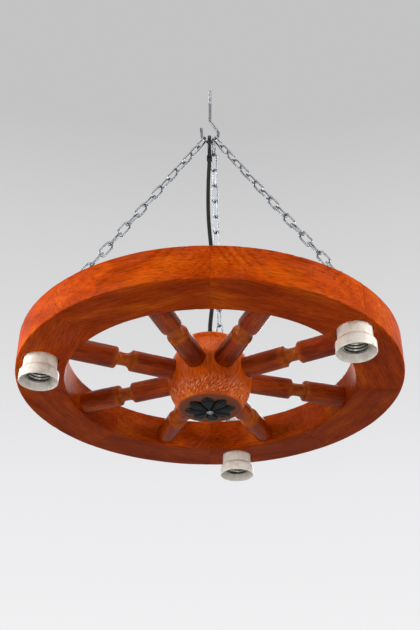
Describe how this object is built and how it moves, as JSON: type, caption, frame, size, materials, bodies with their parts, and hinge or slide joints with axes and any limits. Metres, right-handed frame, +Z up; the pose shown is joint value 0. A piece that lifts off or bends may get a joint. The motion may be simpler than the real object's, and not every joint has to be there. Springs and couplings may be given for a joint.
{
  "type": "wagon wheel chandelier",
  "caption": "Wooden wagon wheel chandelier hung on link chains from a ceiling hook, with porcelain screw lampholders under its rim and a supply cord down to its hub.",
  "frame": {"origin": "the hook's shank where it enters the ceiling, on the wheel's axis", "axes": "+Z up, out of the hook along its thread; +X to the right and +Y away from the viewer"},
  "size_m": [0.45, 0.45, 0.5317],
  "materials": {
    "stained_oak_rim": "glossy orange-brown stain and varnish",
    "stained_oak_spokes": "glossy dark red-brown stain and varnish",
    "stained_oak_hub": "glossy orange-brown stain and varnish",
    "raw_oak": "raw",
    "porcelain": "ivory glaze, aged",
    "zinc_plated_steel": "bright galvanised",
    "nickel_plated_brass": "bright nickel plate",
    "brass": "plain",
    "black_rubber": "matt",
    "black_paint": "satin greenish black",
    "white_plastic": "plain",
    "brown_pvc": "smooth",
    "white_pvc": "smooth"
  },
  "bodies": {
    "hook": {"ceiling_hook": "zinc_plated_steel"},
    "sleeve": {"hook_sleeve": "black_rubber"},
    "lamp": {"chain_left": "zinc_plated_steel", "chain_right": "zinc_plated_steel", "chain_rear": "zinc_plated_steel", "screw_eyes": "zinc_plated_steel", "felloe_1": "stained_oak_rim", "felloe_2": "stained_oak_rim", "felloe_3": "stained_oak_rim", "felloe_4": "stained_oak_rim", "felloe_5": "stained_oak_rim", "felloe_6": "stained_oak_rim", "felloe_7": "stained_oak_rim", "felloe_8": "stained_oak_rim", "felloe_dowels": "raw_oak", "spoke_1": "stained_oak_spokes", "spoke_2": "stained_oak_spokes", "spoke_3": "stained_oak_spokes", "spoke_4": "stained_oak_spokes", "spoke_5": "stained_oak_spokes", "spoke_6": "stained_oak_spokes", "spoke_7": "stained_oak_spokes", "spoke_8": "stained_oak_spokes", "hub": "stained_oak_hub", "hub_cap": "stained_oak_spokes", "rosette": "black_paint", "rosette_screw": "zinc_plated_steel", "lampholder_base_left": "porcelain", "lampholder_base_right": "porcelain", "lampholder_base_rear": "porcelain", "lampholder_skirt_left": "porcelain", "lampholder_skirt_right": "porcelain", "lampholder_skirt_rear": "porcelain", "thread_shell_left": "nickel_plated_brass", "thread_shell_right": "nickel_plated_brass", "thread_shell_rear": "nickel_plated_brass", "holder_screws": "zinc_plated_steel", "junction_block": "white_plastic", "terminal_block": "white_plastic", "terminal_leads": "black_rubber", "branch_cable_left": "white_pvc", "branch_cable_right": "white_pvc", "branch_cable_rear": "white_pvc", "cable_clips": "white_plastic", "cord_grommet": "black_rubber", "supply_cord": "black_rubber", "cord_tie": "black_rubber", "cord_cores": "brown_pvc"},
    "contact_left": {"centre_contact_left": "brass"},
    "contact_right": {"centre_contact_right": "brass"},
    "contact_rear": {"centre_contact_rear": "brass"}
  },
  "joints": [
    {"name": "sway_side", "type": "hinge", "parent": "hook", "child": "sleeve", "pos_m": [0, 0, -0.0637], "axis": [0, 1, 0], "range_deg": [-8, 8]},
    {"name": "sway_front", "type": "hinge", "parent": "sleeve", "child": "lamp", "pos_m": [0, 0, -0.071], "axis": [1, 0, 0], "range_deg": [-8, 8]},
    {"name": "contact_press_left", "type": "slide", "parent": "lamp", "child": "contact_left", "axis": [0, 0, 1], "range_m": [0, 0.0015], "stiffness_N_per_m": 300, "springref_m": -0.001},
    {"name": "contact_press_right", "type": "slide", "parent": "lamp", "child": "contact_right", "axis": [0, 0, 1], "range_m": [0, 0.0015], "stiffness_N_per_m": 300, "springref_m": -0.001},
    {"name": "contact_press_rear", "type": "slide", "parent": "lamp", "child": "contact_rear", "axis": [0, 0, 1], "range_m": [0, 0.0015], "stiffness_N_per_m": 300, "springref_m": -0.001}
  ]
}
